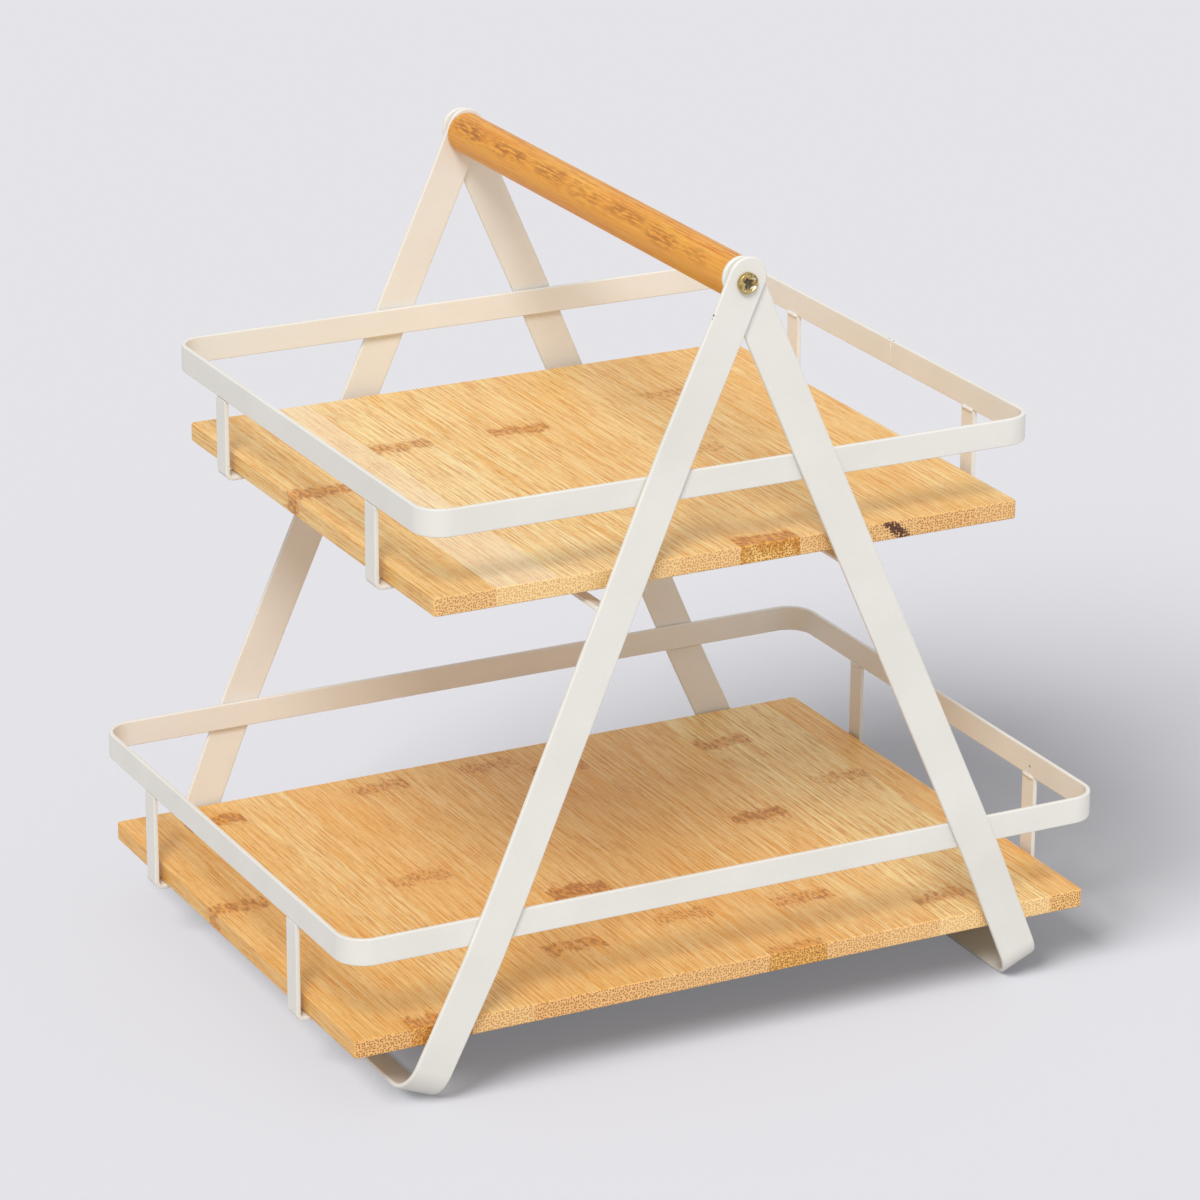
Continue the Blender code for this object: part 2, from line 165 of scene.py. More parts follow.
# Where the coating is chipped to the steel, and how far each chip reaches
CHIPS = [
    ((-0.0165, -0.1456, 0.3575), 0.0010),
    ((-0.0172, -0.1456, 0.3559), 0.0008),
    ((-0.0143, -0.1458, 0.3636), 0.0006),
    ((-0.0110, -0.1458, 0.3772), 0.0006),
    ((0.1959, -0.0859, 0.0823), 0.0008),
    ((0.1552, -0.0095, 0.2853), 0.0006),
    ((0.1552, -0.0135, 0.2853), 0.0006),
]

coat, tree, shader, place = new_material("warm_white_powder_coat")
clouds = maths(tree, "MULTIPLY", noise(tree, place, CLOUD_SCALE, 3.0), 0.75)
tone = maths(tree, "MULTIPLY_ADD", noise(tree, place, SPECK_SCALE), 0.25, clouds)
mottled = blend(tree, ramp(tree, tone, 0.30, 0.70), COAT_COLOUR, COAT_PALE)
ragged = noise(tree, place, CHIP_SCALE, 3.0)
chipped = 0.0
for spot, reach in CHIPS:
    away = vector_maths(tree, "DISTANCE", place, spot)
    away = maths(tree, "MULTIPLY_ADD", ragged, reach, away)
    chipped = maths(tree, "MAXIMUM", chipped, ramp(tree, away, reach * 1.4, reach * 1.1))
bare = blend(tree, chipped, mottled, BARE_STEEL)
tree.links.new(bare, shader.inputs["Base Color"])
peel = noise(tree, place, 1 / PEEL_PITCH, 1.0)
depth = {"Height": peel, "Distance": PEEL_DEPTH, "Strength": PEEL_STRENGTH}
bump = add_node(tree, "ShaderNodeBump", depth)
tree.links.new(bump.outputs["Normal"], shader.inputs["Normal"])
shader.inputs["Roughness"].default_value = COAT_ROUGHNESS


# The two leg frames.
# Each is one 19 mm flat steel bar with rolled edges, bent to a U that stands on its floor bar. The
# ends of the two frames cross on the grip's screws, and both trays are welded between the legs.
BAR_EDGE_RADIUS = 0.0008
EDGE_STEPS = 3
GRIP_AXIS_HEIGHT = frame["joints"][0]["pos_m"][2]
SCREW_HOLE_REACH = 0.004
SAME_PLACE = 0.00001
FLAT_ANGLE = math.radians(0.5)
EDGE_ANGLE = math.radians(45)
SMOOTH_ANGLE = math.radians(40)


def coated_copy(node, edge_radius):
    """Steel piece with the rounded edges of its bar, made from the plain solid that it stands for."""
    shape = bmesh.new()
    shape.from_mesh(frame["nodes"][node].data)
    bmesh.ops.remove_doubles(shape, verts=shape.verts, dist=SAME_PLACE)
    bmesh.ops.dissolve_limit(shape, angle_limit=FLAT_ANGLE, verts=shape.verts, edges=shape.edges)
    sharp = []
    for edge in shape.edges:
        middle = (edge.verts[0].co + edge.verts[1].co) / 2
        from_axis = math.hypot(middle.x, middle.z - GRIP_AXIS_HEIGHT)
        if edge.calc_face_angle(0) > EDGE_ANGLE and from_axis > SCREW_HOLE_REACH:
            sharp.append(edge)
    bmesh.ops.bevel(
        shape,
        geom=sharp,
        offset=edge_radius,
        offset_type="OFFSET",
        affect="EDGES",
        segments=EDGE_STEPS,
        profile=0.5,
        material=-1,
        clamp_overlap=False,
    )
    piece = add_piece("coated_" + node, shape, coat, "rack")
    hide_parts(node)


def add_piece(name, shape, material, body):
    """Finished piece of the rack from a bmesh, smooth over its rounded edges."""
    mesh = bpy.data.meshes.new(name)
    shape.to_mesh(mesh)
    shape.free()
    mesh.materials.append(material)
    mesh.shade_smooth()
    mesh.set_sharp_from_angle(angle=SMOOTH_ANGLE)
    piece = bpy.data.objects.new(name, mesh)
    bpy.context.scene.collection.objects.link(piece)
    even = piece.modifiers.new("even shading", "WEIGHTED_NORMAL")
    even.keep_sharp = True
    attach(piece, body)
    return piece


for side in ("left", "right"):
    coated_copy(side + "_leg_frame", BAR_EDGE_RADIUS)


# The two trays and the crossbars.
# Each rim is a closed ring of strip on edge, and two straps hang from it and pass under the board.
# The crossbars are flat stretchers welded between a frame's legs under the upper tray.
STRIP_EDGE_RADIUS = 0.0006

for tier in ("upper", "lower"):
    coated_copy(tier + "_rim", STRIP_EDGE_RADIUS)
    for side in ("near", "far"):
        coated_copy(f"{tier}_{side}_strap", STRIP_EDGE_RADIUS)
for side in ("left", "right"):
    coated_copy(side + "_crossbar", STRIP_EDGE_RADIUS)


# The boards.
# Each is a panel glued from bamboo strips 31 mm wide that lie flat, with the fibres along the rack's
# depth. Dark rows of knots cross a strip where the culm had a joint. Sanded and lacquered.
FIBRE_PITCH = 0.0018
FIBRE_LENGTH = 0.050
DOT_PITCH = 0.0013
BAMBOO_CREAM = shade(253, 235, 174)
BAMBOO_HONEY = shade(231, 169, 78)
BAMBOO_AMBER = shade(228, 150, 16)
BAMBOO_PALE = shade(248, 228, 200)
BUNDLE_BROWN = shade(196, 122, 38)
END_PALE = shade(247, 212, 152)
END_AMBER = shade(222, 134, 0)
END_COARSE = shade(250, 206, 122)
DOT_TAN = shade(214, 158, 86)
DOT_BROWN = shade(148, 80, 14)
DOT_COARSE = shade(90, 40, 0)
DOT_SCORCHED = shade(74, 28, 0)
KNOT_STAIN = shade(214, 134, 4)
KNOT_BROWN = shade(142, 72, 0)


def flat_cells(tree, across, along, randomness):
    """Distance from the middle of the nearest cell of a flat pattern, and the cell's own number."""
    face = add_node(tree, "ShaderNodeCombineXYZ", {0: across, 1: along}).outputs[0]
    cells = add_node(tree, "ShaderNodeTexVoronoi", voronoi_dimensions="2D")
    cells.inputs["Scale"].default_value = 1.0
    cells.inputs["Randomness"].default_value = randomness
    tree.links.new(face, cells.inputs["Vector"])
    number = add_node(tree, "ShaderNodeSeparateColor", {0: cells.outputs["Color"]}).outputs[0]
    return cells.outputs["Distance"], number


def bamboo_grain():
    """Group for bamboo whose fibres run along Y: its colour, height and roughness at a place."""
    inputs = ("Tone", "Shift", "Knots", "End", "Coarse", "Scorch")
    given_kinds = {"Place": "Vector"} | {label: "Float" for label in inputs}
    outputs = {"Colour": "Color", "Height": "Float", "Roughness": "Float"}
    tree, given, out = new_group("bamboo_grain", given_kinds, outputs)
    away = add_node(tree, "ShaderNodeCombineXYZ", {0: given["Shift"], 2: given["Shift"]}).outputs[0]
    place = vector_maths(tree, "ADD", given["Place"], away)

    # Ground colour: cream to honey in hair lines, over a few broader streaks
    broad = noise(tree, stretched(tree, place, 80, 3, 80))
    hair = noise(tree, stretched(tree, place, 1250, 16, 1250), detail=1.0)
    broken = noise(tree, stretched(tree, place, 900, 120, 900))
    streaks = maths(tree, "MULTIPLY_ADD", broken, 0.40, maths(tree, "MULTIPLY", broad, 0.05))
    streaks = maths(tree, "ADD", streaks, hair)
    colour = blend(tree, ramp(tree, streaks, 0.36, 1.09), BAMBOO_CREAM, BAMBOO_HONEY)

    # Fibre bundles: thin dark lines along the strip, each broken into dashes
    x, y, z = add_node(tree, "ShaderNodeSeparateXYZ", {0: place}).outputs
    across = maths(tree, "MULTIPLY", maths(tree, "ADD", x, z), 1 / FIBRE_PITCH)
    along = maths(tree, "MULTIPLY", y, 1 / FIBRE_LENGTH)
    from_middle, strength = flat_cells(tree, across, along, 0.75)
    dashes = maths(tree, "MULTIPLY_ADD", ramp(tree, broken, 0.38, 0.60), 0.42, 0.36)
    line = maths(tree, "MULTIPLY", ramp(tree, from_middle, 0.38, 0.10), dashes)
    line = maths(tree, "MULTIPLY", line, maths(tree, "MULTIPLY_ADD", strength, 0.30, 0.70))
    colour = blend(tree, line, colour, BUNDLE_BROWN)

    # Tone: the whole strip goes to amber above 0 and to a paler cream below it
    tone = maths(tree, "MULTIPLY", given["Tone"], 0.8)
    colour = blend(tree, tone, colour, BAMBOO_AMBER)
    colour = blend(tree, maths(tree, "MULTIPLY", given["Tone"], -0.8), colour, BAMBOO_PALE)

    # End grain: the same bundles cut across are dots, dark where the strip is coarse or scorched
    across = maths(tree, "MULTIPLY", x, 1 / DOT_PITCH)
    along = maths(tree, "MULTIPLY", z, 1 / DOT_PITCH)
    from_middle = flat_cells(tree, across, along, 0.7)[0]
    reach = maths(tree, "MULTIPLY_ADD", given["Scorch"], 0.36, 0.38)
    dot = ramp(tree, maths(tree, "SUBTRACT", from_middle, reach), 0.0, -0.15)
    ends = blend(tree, tone, END_PALE, END_AMBER)
    ends = blend(tree, given["Coarse"], ends, END_COARSE)
    ink = blend(tree, ramp(tree, tone, 0.0, 0.5), DOT_TAN, DOT_BROWN)
    ink = blend(tree, given["Coarse"], ink, DOT_COARSE)
    ink = blend(tree, ramp(tree, given["Scorch"], 0.0, 0.5), ink, DOT_SCORCHED)
    dots = maths(tree, "MULTIPLY_ADD", given["Scorch"], 0.14, maths(tree, "MULTIPLY", dot, 0.84))
    ends = blend(tree, dots, ends, ink)
    colour = blend(tree, given["End"], colour, ends)

    # Knots: the fibres darken one by one into a ragged band across the strip
    comb = noise(tree, stretched(tree, place, 640, 260, 640), detail=3.0)
    stroke = maths(tree, "SUBTRACT", given["Knots"], ramp(tree, comb, 0.36, 0.64))
    stroke = ramp(tree, stroke, -0.20, 0.60)
    stain = maths(tree, "MULTIPLY", ramp(tree, given["Knots"], 0.0, 0.9), 0.70)
    colour = blend(tree, stain, colour, KNOT_STAIN)
    colour = blend(tree, maths(tree, "MULTIPLY", stroke, 0.54), colour, KNOT_BROWN)
    tree.links.new(colour, out["Colour"])

    # Height and gloss: the bundles and the knots lie a little lower, and the hair lines vary both
    hollow = maths(tree, "MAXIMUM", line, stroke)
    tree.links.new(maths(tree, "MULTIPLY_ADD", hollow, -1.0, hair), out["Height"])
    tree.links.new(maths(tree, "MULTIPLY_ADD", streaks, 0.12, 0.38), out["Roughness"])
    return tree


BAMBOO_GRAIN = bamboo_grain()

KNOT_WANDER = 0.014
KNOT_EDGE = 0.0098
KNOT_CORE = 0.0032
HALO_EDGE = 0.020
HALO_CORE = 0.005
HALO_STRENGTH = 0.28


def knot_band(tree, place, at, strength):
    """How dark a strip's row of knots is here. The row lies at one place along the fibres."""
    wander = noise(tree, stretched(tree, place, 130, 25, 130), detail=4.0)
    wander = maths(tree, "SUBTRACT", wander, 0.5)
    along = add_node(tree, "ShaderNodeSeparateXYZ", {0: place}).outputs[1]
    bent = maths(tree, "MULTIPLY_ADD", wander, KNOT_WANDER, maths(tree, "SUBTRACT", along, at))
    distance = maths(tree, "ABSOLUTE", bent)
    band = ramp(tree, distance, KNOT_EDGE, KNOT_CORE)
    halo = maths(tree, "MULTIPLY", ramp(tree, distance, HALO_EDGE, HALO_CORE), HALO_STRENGTH)
    return maths(tree, "MULTIPLY", maths(tree, "MAXIMUM", band, halo), strength)


BOARD_CORNER_RADIUS = 0.002
BOARD_CORNER_STEPS = 5
BOARD_EDGE_RADIUS = 0.0007
CORNER_ANGLE = math.radians(60)
STRIP_WIDTH = 0.0308
STRIP_SHIFT = 0.37
GRAIN_DEPTH = 0.00006
BOARD_GRAIN_STRENGTH = 0.5
SCORCH_SLOPE = math.radians(38)
SCORCH_LENGTH = 0.0090
SCORCH_WIDTH = 0.0026

# What the mesh of a board tells its material about the strip that each face belongs to
STRIP_VALUES = ("tone", "shift", "knot_a", "knot_b", "knot_a_strength", "knot_b_strength", "coarse")


def board_material(name, scorched_at):
    """Bamboo of a board. Each strip's tone and knots come from the mesh. One end can be scorched."""
    material, tree, shader, place = new_material(name)
    strip = {}
    for label in STRIP_VALUES:
        told = add_node(tree, "ShaderNodeAttribute", attribute_name="strip_" + label)
        strip[label] = told.outputs["Fac"]
    knots = maths(
        tree,
        "MAXIMUM",
        knot_band(tree, place, strip["knot_a"], strip["knot_a_strength"]),
        knot_band(tree, place, strip["knot_b"], strip["knot_b_strength"]),
    )
    facing = add_node(tree, "ShaderNodeTexCoord").outputs["Normal"]
    along = add_node(tree, "ShaderNodeSeparateXYZ", {0: facing}).outputs[1]
    grain = add_node(tree, "ShaderNodeGroup", node_tree=BAMBOO_GRAIN)
    wiring = {
        "Place": place,
        "Tone": strip["tone"],
        "Shift": strip["shift"],
        "Knots": knots,
        "Coarse": strip["coarse"],
        "End": ramp(tree, maths(tree, "ABSOLUTE", along), 0.6, 0.8),
    }
    if scorched_at:
        sloped = {"Vector": vector_maths(tree, "SUBTRACT", place, scorched_at), "Angle": -SCORCH_SLOPE}
        turned = add_node(tree, "ShaderNodeVectorRotate", sloped, rotation_type="Y_AXIS").outputs[0]
        away = stretched(tree, turned, 1 / SCORCH_LENGTH, 1 / SCORCH_LENGTH, 1 / SCORCH_WIDTH)
        wiring["Scorch"] = ramp(tree, vector_maths(tree, "LENGTH", away), 1.7, 0.2)
    for socket, value in wiring.items():
        tree.links.new(value, grain.inputs[socket])
    tree.links.new(grain.outputs["Colour"], shader.inputs["Base Color"])
    tree.links.new(grain.outputs["Roughness"], shader.inputs["Roughness"])
    height = grain.outputs["Height"]
    depth = {"Height": height, "Distance": GRAIN_DEPTH, "Strength": BOARD_GRAIN_STRENGTH}
    bump = add_node(tree, "ShaderNodeBump", depth)
    tree.links.new(bump.outputs["Normal"], shader.inputs["Normal"])
    return material


# A row of knots that lies off the board and has no strength, for strips with fewer than two
NO_KNOT = (9.0, 0.0)


def add_board(node, first_seam, strips, scorched_at):
    """Board glued from strips, first the one at low X.

    Each strip has a tone, a coarseness and up to two rows of knots, and a row has its place along
    the fibres and its strength. The first seam is where the first strip ends.
    """
    low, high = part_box(node)
    shape = bmesh.new()
    bmesh.ops.create_cube(shape, size=1)
    bmesh.ops.scale(shape, vec=high - low, verts=shape.verts)
    bmesh.ops.translate(shape, vec=(low + high) / 2, verts=shape.verts)
    upright = [edge for edge in shape.edges if abs(edge.verts[0].co.z - edge.verts[1].co.z) > 0.001]
    bmesh.ops.bevel(
        shape,
        geom=upright,
        offset=BOARD_CORNER_RADIUS,
        affect="EDGES",
        segments=BOARD_CORNER_STEPS,
        profile=0.5,
        material=-1,
    )
    around = [edge for edge in shape.edges if edge.calc_face_angle(0) > CORNER_ANGLE]
    bmesh.ops.bevel(
        shape,
        geom=around,
        offset=BOARD_EDGE_RADIUS,
        affect="EDGES",
        segments=EDGE_STEPS,
        profile=0.5,
        material=-1,
    )
    seams = [first_seam + STRIP_WIDTH * number for number in range(len(strips) - 1)]
    for seam in seams:
        everything = shape.verts[:] + shape.edges[:] + shape.faces[:]
        bmesh.ops.bisect_plane(shape, geom=everything, plane_co=(seam, 0, 0), plane_no=(1, 0, 0))
    layers = {}
    for label in STRIP_VALUES:
        layers[label] = shape.faces.layers.float.new("strip_" + label)
    for face in shape.faces:
        number = sum(face.calc_center_median().x > seam for seam in seams)
        tone, coarse, *knots = strips[number]
        (knot_a, strength_a), (knot_b, strength_b) = (knots + [NO_KNOT, NO_KNOT])[:2]
        face[layers["tone"]] = tone
        face[layers["coarse"]] = coarse
        face[layers["shift"]] = number * STRIP_SHIFT
        face[layers["knot_a"]] = knot_a
        face[layers["knot_b"]] = knot_b
        face[layers["knot_a_strength"]] = strength_a
        face[layers["knot_b_strength"]] = strength_b
    bamboo = board_material(node + "_bamboo", scorched_at)
    board = add_piece("bamboo_" + node, shape, bamboo, "rack")
    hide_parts(node)


add_board(
    "upper_board",
    first_seam=-0.1197,
    strips=[
        (0.36, 0.0, (0.016, 0.7)),
        (-0.50, 0.0, (0.038, 0.2)),
        (-0.12, 0.0, (0.059, 0.55)),
        (0.16, 0.0),
        (0.28, 0.0, (0.057, 0.65)),
        (0.34, 1.0, (-0.133, 0.8)),
        (0.30, 0.0, (-0.008, 0.3)),
        (0.36, 0.0, (0.076, 0.4)),
        (0.46, 0.0),
        (0.36, 0.0),
    ],
    scorched_at=(0.0850, -0.1383, 0.2392),
)
# The lower board's strips are toned more amber than the upper board's. This is partly their own colour
# and partly painted shade from the upper tray above them.
add_board(
    "lower_board",
    first_seam=-0.1646,
    strips=[
        (0.58, 0.1, (0.020, 0.6)),
        (0.46, 0.6, (0.121, 0.8), (-0.138, 0.7)),
        (0.32, 0.0, (-0.050, 0.6)),
        (0.52, 0.0, (0.012, 0.45)),
        (0.48, 0.0, (0.125, 0.5), (-0.092, 0.55)),
        (0.42, 0.0, (-0.036, 0.85)),
        (0.42, 0.0, (0.127, 0.45), (-0.084, 0.5)),
        (0.50, 1.0, (0.108, 0.5), (-0.141, 0.5)),
        (0.38, 0.0, (-0.091, 0.55)),
        (0.28, 0.0, (0.008, 0.75)),
        (0.02, 0.0, (0.102, 0.55), (-0.118, 0.5)),
        (-0.02, 0.0, (0.034, 0.4)),
        (0.50, 0.3),
    ],
    scorched_at=None,
)


# The carrying grip.
# A 20 mm round bar turned from glued bamboo, darker than the boards, with its ends eased and a row
# of brown streaks along its top. Sanded and lacquered.
GRIP_END_RADIUS = 0.0014
GRIP_END_STEPS = 4
GRIP_SIDES = 96

low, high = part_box("handle_grip")
shape = bmesh.new()
bmesh.ops.create_cone(
    shape,
    cap_ends=True,
    segments=GRIP_SIDES,
    radius1=(high.x - low.x) / 2,
    radius2=(high.x - low.x) / 2,
    depth=high.y - low.y,
)
ends = [edge for edge in shape.edges if edge.calc_face_angle(0) > CORNER_ANGLE]
bmesh.ops.bevel(
    shape,
    geom=ends,
    offset=GRIP_END_RADIUS,
    affect="EDGES",
    segments=GRIP_END_STEPS,
    profile=0.5,
    material=-1,
)
bmesh.ops.rotate(shape, cent=(0, 0, 0), matrix=Matrix.Rotation(math.pi / 2, 3, "X"), verts=shape.verts)
bmesh.ops.translate(shape, vec=(low + high) / 2, verts=shape.verts)

VARNISH = shade(244, 208, 124)
GRIP_AMBER = shade(232, 160, 52)
STREAK_BROWN = shade(152, 78, 10)
STREAK_STRENGTH = 0.80
GRIP_TONE = 0.30
GRIP_GRAIN_STRENGTH = 0.4

# The streaks lie along one line on the bar: where each starts and ends on it, and how dark it is
STREAK_SIDE = Vector((-0.79, 0.0, 0.61))
STREAK_LINE = [
    (0.137, 0.104, 1.00),
    (0.100, 0.058, 0.85),
    (0.054, 0.018, 0.75),
    (0.014, -0.020, 0.55),
    (-0.026, -0.062, 0.75),
    (-0.066, -0.096, 0.85),
    (-0.100, -0.124, 0.55),
]
STREAK_DRIFT = 0.009
STREAK_EDGE = 0.0056
STREAK_CORE = 0.0010

# The grain fades on the lower left of the bar
SMOOTH_SIDE = Vector((-0.93, 0.0, -0.36))
SMOOTH_FROM = 0.0005
SMOOTH_TO = 0.0080
SMOOTH_STRENGTH = 0.65

grip_bamboo, tree, shader, place = new_material("grip_bamboo")
from_axis = vector_maths(tree, "SUBTRACT", place, (0, 0, GRIP_AXIS_HEIGHT))
across = Vector((STREAK_SIDE.z, 0.0, -STREAK_SIDE.x))
ways = (across, STREAK_SIDE, SMOOTH_SIDE)
aside, facing, under = [vector_maths(tree, "DOT_PRODUCT", from_axis, way) for way in ways]
along = add_node(tree, "ShaderNodeSeparateXYZ", {0: place}).outputs[1]
marks = 0.0
for start, end, strength in STREAK_LINE:
    off = maths(tree, "ABSOLUTE", maths(tree, "SUBTRACT", along, (start + end) / 2))
    half = (start - end) / 2
    mark = maths(tree, "MULTIPLY", ramp(tree, off, half * 1.4, half * 0.5), strength)
    marks = maths(tree, "MAXIMUM", marks, mark)
drift = maths(tree, "SUBTRACT", noise(tree, stretched(tree, place, 40, 26, 40)), 0.5)
off_line = maths(tree, "ABSOLUTE", maths(tree, "MULTIPLY_ADD", drift, STREAK_DRIFT, aside))
near_line = ramp(tree, off_line, STREAK_EDGE, STREAK_CORE)
near_line = maths(tree, "MULTIPLY", near_line, ramp(tree, facing, 0.0, 0.003))
clouds = ramp(tree, noise(tree, stretched(tree, place, 900, 110, 900), detail=5.0), 0.40, 0.56)
streaked = maths(tree, "MULTIPLY", maths(tree, "MULTIPLY", marks, near_line), clouds)
given = {"Place": place, "Tone": GRIP_TONE}
grain = add_node(tree, "ShaderNodeGroup", given, node_tree=BAMBOO_GRAIN)
varnished = blend(tree, 1.0, grain.outputs["Colour"], VARNISH, "MULTIPLY")
smooth = maths(tree, "MULTIPLY", ramp(tree, under, SMOOTH_FROM, SMOOTH_TO), SMOOTH_STRENGTH)
varnished = blend(tree, smooth, varnished, GRIP_AMBER)
streaked = maths(tree, "MULTIPLY", streaked, STREAK_STRENGTH)
varnished = blend(tree, streaked, varnished, STREAK_BROWN)
tree.links.new(varnished, shader.inputs["Base Color"])
tree.links.new(grain.outputs["Roughness"], shader.inputs["Roughness"])
height = grain.outputs["Height"]
depth = {"Height": height, "Distance": GRAIN_DEPTH, "Strength": GRIP_GRAIN_STRENGTH}
bump = add_node(tree, "ShaderNodeBump", depth)
tree.links.new(bump.outputs["Normal"], shader.inputs["Normal"])
grip = add_piece("bamboo_grip", shape, grip_bamboo, "grip")
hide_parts("handle_grip")


# The screws.
# Yellow zinc plated steel with a cross recess. Two with domed heads hold the grip between the leg
# ends, and eight short ones hold the boards from below, driven up through the straps.
# Each recess has painted glints on its walls and painted shade on its floor.
SCREW_SIDES = 64
SPIN_SEAM = 0.000001
DOME_STEPS = 8
RECESS_TURN = math.radians(45)
RECESS_BOTTOM = 0.38
GRIP_SCREW_HEAD_HEIGHT = 0.0028
GRIP_SCREW_DOME = 0.0012
GRIP_SCREW_SHANK_RADIUS = 0.0022
GRIP_SCREW_RECESS = (0.0124, 0.0040, 0.0016)
BOARD_SCREW_HEAD_HEIGHT = 0.0018
BOARD_SCREW_DOME = 0.0009
BOARD_SCREW_SHANK_RADIUS = 0.0015
BOARD_SCREW_RECESS = (0.0056, 0.0018, 0.0010)
ZINC_LIGHT = shade(214, 190, 130)
ZINC_DARK = shade(162, 138, 82)
PAINTED_GLINT_LIGHT = shade(250, 238, 212)
PAINTED_GLINT_DARK = shade(176, 150, 104)
PAINTED_RECESS_SHADE = shade(84, 74, 50)
ZINC_PATCH_SCALE = 420.0
WALL_PATCH_SCALE = 900.0

zinc, tree, shader, place = new_material("yellow_zinc")
tint = ramp(tree, noise(tree, place, ZINC_PATCH_SCALE), 0.38, 0.64)
tree.links.new(blend(tree, tint, ZINC_LIGHT, ZINC_DARK), shader.inputs["Base Color"])
shader.inputs["Metallic"].default_value = 1.0
shader.inputs["Roughness"].default_value = 0.26

# The recess walls are painted much lighter than the zinc outside them: painted glints.
painted_glint_wall, tree, shader, place = new_material("painted_glint_wall")
tint = ramp(tree, noise(tree, place, WALL_PATCH_SCALE), 0.42, 0.58)
tree.links.new(blend(tree, tint, PAINTED_GLINT_LIGHT, PAINTED_GLINT_DARK), shader.inputs["Base Color"])
shader.inputs["Metallic"].default_value = 1.0
shader.inputs["Roughness"].default_value = 0.28

# The recess floor is painted dark: painted shade inside the recess.
painted_shade_floor, _, shader, _ = new_material("painted_shade_floor")
shader.inputs["Base Color"].default_value = PAINTED_RECESS_SHADE
shader.inputs["Roughness"].default_value = 0.60


def recess_cutter(span, width, depth):
    """Cross that narrows towards its bottom, standing in the top of a head at the origin."""
    shape = bmesh.new()
    bmesh.ops.create_cube(shape, size=1)
    bmesh.ops.scale(shape, vec=(width, width, depth * 2), verts=shape.verts)
    arms = [face for face in shape.faces if abs(face.normal.z) < 0.5]
    for arm in bmesh.ops.extrude_discrete_faces(shape, faces=arms)["faces"]:
        bmesh.ops.translate(shape, vec=arm.normal * (span - width) / 2, verts=arm.verts)
    floor_verts = [vert for vert in shape.verts if vert.co.z < 0]
    bmesh.ops.scale(shape, vec=(RECESS_BOTTOM, RECESS_BOTTOM, 1), verts=floor_verts)
    bmesh.ops.recalc_face_normals(shape, faces=shape.faces)
    # The sloping walls get the painted glints, and the bottom faces get the painted shade
    for face in shape.faces:
        face.material_index = 1 if face.normal.z < -0.9 else 0
    bmesh.ops.rotate(shape, matrix=Matrix.Rotation(RECESS_TURN, 3, "Z"), verts=shape.verts)
    mesh = bpy.data.meshes.new("recess")
    shape.to_mesh(mesh)
    shape.free()
    mesh.materials.append(painted_glint_wall)
    mesh.materials.append(painted_shade_floor)
    return mesh


def add_screw(node, facing, body, head_height, dome, shank_radius, recess):
    """Screw turned from its outline, with its recess cut, in the place of a plain one.

    The recess is given as its cutter's span and width, which narrow downwards, and its depth.
    """
    low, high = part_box(node)
    length = abs((high - low).dot(facing))
    head_radius = (high.x - low.x) / 2
    rises = [math.pi / 2 * step / DOME_STEPS for step in range(DOME_STEPS + 1)]
    outline = [(head_radius * math.sin(rise), dome * (math.cos(rise) - 1)) for rise in rises]
    outline += [(head_radius, -head_height), (shank_radius, -head_height)]
    outline += [(shank_radius, -length + shank_radius), (0, -length)]
    shape = bmesh.new()
    points = [shape.verts.new((across, 0, along)) for across, along in outline]
    edges = [shape.edges.new(pair) for pair in zip(points, points[1:])]
    bmesh.ops.spin(
        shape,
        geom=points + edges,
        cent=(0, 0, 0),
        axis=(0, 0, 1),
        angle=2 * math.pi,
        steps=SCREW_SIDES,
        use_merge=True,
    )
    bmesh.ops.remove_doubles(shape, verts=shape.verts, dist=SPIN_SEAM)
    bmesh.ops.recalc_face_normals(shape, faces=shape.faces)
    blank = bpy.data.objects.new("blank", bpy.data.meshes.new("blank"))
    shape.to_mesh(blank.data)
    shape.free()
    blank.data.materials.append(zinc)
    cutter = bpy.data.objects.new("cutter", recess_cutter(*recess))
    for helper in (blank, cutter):
        bpy.context.scene.collection.objects.link(helper)
    cut = blank.modifiers.new("recess", "BOOLEAN")
    cut.object = cutter
    cut.operation = "DIFFERENCE"
    cut.material_mode = "TRANSFER"
    cut_blank = blank.evaluated_get(bpy.context.evaluated_depsgraph_get())
    shape = bmesh.new()
    shape.from_mesh(bpy.data.meshes.new_from_object(cut_blank))
    for helper in (blank, cutter):
        bpy.data.objects.remove(helper)
    bmesh.ops.rotate(shape, matrix=facing.to_track_quat("Z", "X").to_matrix(), verts=shape.verts)
    bmesh.ops.translate(shape, vec=(low + high) / 2 + facing * length / 2, verts=shape.verts)
    screw = add_piece("recessed_" + node, shape, zinc, body)
    # Materials of the cut recess: painted glints on its walls and painted shade on its floor
    screw.data.materials.append(painted_glint_wall)
    screw.data.materials.append(painted_shade_floor)
    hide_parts(node)


for where, facing in (("near", Vector((0, -1, 0))), ("far", Vector((0, 1, 0)))):
    add_screw(
        where + "_grip_screw",
        facing,
        "grip",
        GRIP_SCREW_HEAD_HEIGHT,
        GRIP_SCREW_DOME,
        GRIP_SCREW_SHANK_RADIUS,
        GRIP_SCREW_RECESS,
    )
for tier in ("upper", "lower"):
    for number in range(1, 5):
        add_screw(
            f"{tier}_board_screw_{number}",
            Vector((0, 0, -1)),
            "rack",
            BOARD_SCREW_HEAD_HEIGHT,
            BOARD_SCREW_DOME,
            BOARD_SCREW_SHANK_RADIUS,
            BOARD_SCREW_RECESS,
        )


